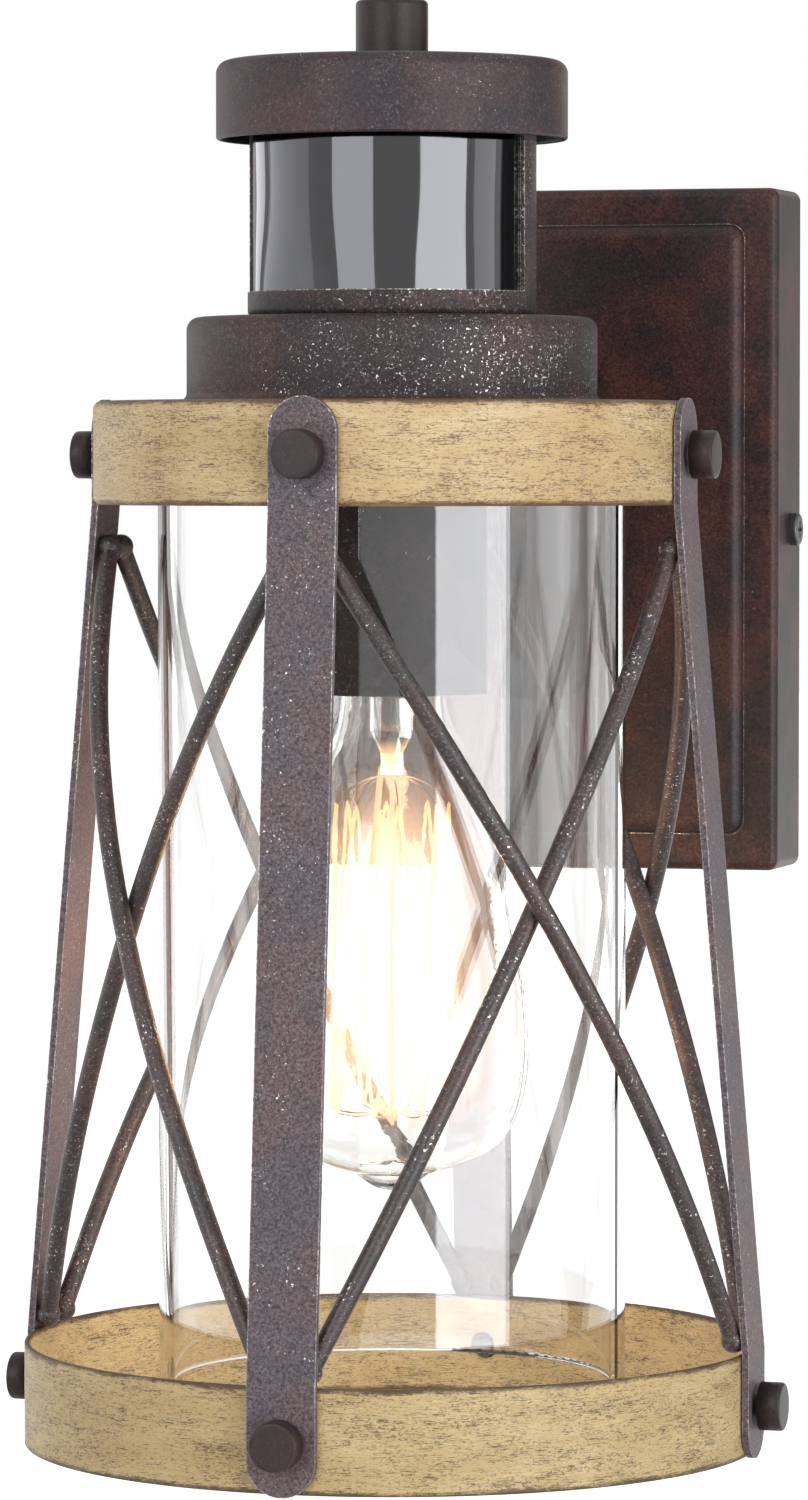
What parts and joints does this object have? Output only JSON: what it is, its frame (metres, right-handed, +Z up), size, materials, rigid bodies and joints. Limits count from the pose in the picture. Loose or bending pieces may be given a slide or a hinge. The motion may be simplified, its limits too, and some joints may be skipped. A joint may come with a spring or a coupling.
{
  "type": "outdoor wall lantern",
  "caption": "Wall lantern with a motion-sensor head, a strap-and-crossed-rod cage between two tan bands, and an open-bottom clear glass cylinder round a filament lamp.",
  "frame": {"origin": "middle of the mounting bracket's back face, on the wall plane", "axes": "+Y into the wall, -Y out from the wall towards the street, +X right as seen from the street, +Z up"},
  "size_m": [0.1878, 0.2389, 0.3359],
  "materials": {
    "bronze_powder_coat": "textured oil-rubbed bronze powder coat with pale flecks and rubbed edges",
    "bronze_turned": "smooth oil-rubbed bronze",
    "burnished_tan": "burnished tan wood-look paint, dark brushed grain, darker edges",
    "zinc_steel": "zinc plated",
    "nickel_screw": "nickel plated",
    "black_screw": "blackened, slightly worn",
    "black_washer": "black sealing washer",
    "green_screw": "green ground screw",
    "clear_glass": "clear, polished",
    "lamp_glass": "clear, thin blown",
    "silicone": "translucent silicone",
    "porcelain": "white glazed porcelain",
    "brass": "stamped brass",
    "solder": "tinned",
    "black_insulator": "black vitrite",
    "support_wire": "drawn wire",
    "glowing_filament": "glowing tungsten-colour wire",
    "smoked_plastic": "smoked clear plastic",
    "dark_lens": "dark moulded lens sheet",
    "black_plastic": "moulded",
    "board_green": "solder mask",
    "photocell_red": "resin coated",
    "relay_blue": "moulded case"
  },
  "bodies": {
    "lantern": {"wall_plate": "bronze_powder_coat", "arm": "bronze_powder_coat", "roof_pan": "bronze_powder_coat", "socket_cup": "bronze_powder_coat", "sensor_drum": "bronze_powder_coat", "upper_cap_nuts": "bronze_turned", "lower_cap_nuts": "bronze_turned", "upper_band": "burnished_tan", "lower_band": "burnished_tan", "mounting_bracket": "zinc_steel", "arm_pipe": "zinc_steel", "arm_nuts": "zinc_steel", "lamp_pipe": "zinc_steel", "pipe_nuts": "zinc_steel", "support_disc": "zinc_steel", "upper_band_screws": "zinc_steel", "lower_band_screws": "bronze_turned", "top_stud": "zinc_steel", "ground_screw": "green_screw", "glass_cylinder": "clear_glass", "glass_gaskets": "silicone", "lamp_holder": "porcelain", "screw_shell": "brass", "centre_contact": "brass", "sensor_cover": "smoked_plastic", "sensor_lens": "dark_lens", "sensor_chassis": "black_plastic", "circuit_board": "board_green", "pir_detectors": "nickel_screw", "photocell": "photocell_red", "relay": "relay_blue", "strap_front": "bronze_powder_coat", "strap_right": "bronze_powder_coat", "strap_back": "bronze_powder_coat", "strap_left": "bronze_powder_coat", "rod_outer_front_right": "bronze_powder_coat", "rod_inner_front_right": "bronze_powder_coat", "rod_outer_back_right": "bronze_powder_coat", "rod_inner_back_right": "bronze_powder_coat", "rod_outer_back_left": "bronze_powder_coat", "rod_inner_back_left": "bronze_powder_coat", "rod_outer_front_left": "bronze_powder_coat", "rod_inner_front_left": "bronze_powder_coat"},
    "cap": {"cap": "bronze_powder_coat"},
    "finial_washer": {"finial_washer": "bronze_turned"},
    "finial": {"finial": "bronze_turned"},
    "bulb_tip": {"bulb_contact_tip": "solder"},
    "bulb": {"bulb_base_shell": "brass", "bulb_insulator": "black_insulator", "bulb_glass": "lamp_glass", "bulb_stem": "lamp_glass", "bulb_supports": "support_wire", "bulb_filament": "glowing_filament"},
    "screw_right": {"side_screw_right": "black_screw", "side_washer_right": "black_washer"},
    "screw_left": {"side_screw_left": "black_screw", "side_washer_left": "black_washer"},
    "time_dial": {"time_dial": "black_plastic"},
    "dusk_dial": {"dusk_dial": "black_plastic"}
  },
  "joints": [
    {"name": "cap_lift", "type": "slide", "parent": "lantern", "child": "cap", "axis": [0, 0, 1], "range_m": [0, 0.025]},
    {"name": "finial_travel", "type": "slide", "parent": "cap", "child": "finial_washer", "axis": [0, 0, 1], "range_m": [0, 0.00961]},
    {"name": "finial_turn", "type": "hinge", "parent": "finial_washer", "child": "finial", "pos_m": [0, -0.145, 0.11], "axis": [0, 0, 1], "range_deg": [0, 4320]},
    {"name": "bulb_travel", "type": "slide", "parent": "lantern", "child": "bulb_tip", "axis": [0, 0, -1], "range_m": [0, 0.02179]},
    {"name": "bulb_turn", "type": "hinge", "parent": "bulb_tip", "child": "bulb", "pos_m": [0, -0.145, -0.06], "axis": [0, 0, -1], "range_deg": [0, 2160]},
    {"name": "side_screw_right_travel", "type": "slide", "parent": "lantern", "child": "screw_right", "axis": [1, 0, 0], "range_m": [0, 0.0098]},
    {"name": "side_screw_left_travel", "type": "slide", "parent": "lantern", "child": "screw_left", "axis": [-1, 0, 0], "range_m": [0, 0.0098]},
    {"name": "time_dial_turn", "type": "hinge", "parent": "lantern", "child": "time_dial", "pos_m": [-0.0095, -0.16145, 0.104], "axis": [0, 0, 1], "range_deg": [-135, 135]},
    {"name": "dusk_dial_turn", "type": "hinge", "parent": "lantern", "child": "dusk_dial", "pos_m": [0.0095, -0.16145, 0.104], "axis": [0, 0, 1], "range_deg": [-135, 135]}
  ],
  "couplings": [
    {"joint": "finial_travel", "follows": "finial_turn", "m_per_rad": 0.00012732},
    {"joint": "bulb_travel", "follows": "bulb_turn", "m_per_rad": 0.00057773}
  ]
}
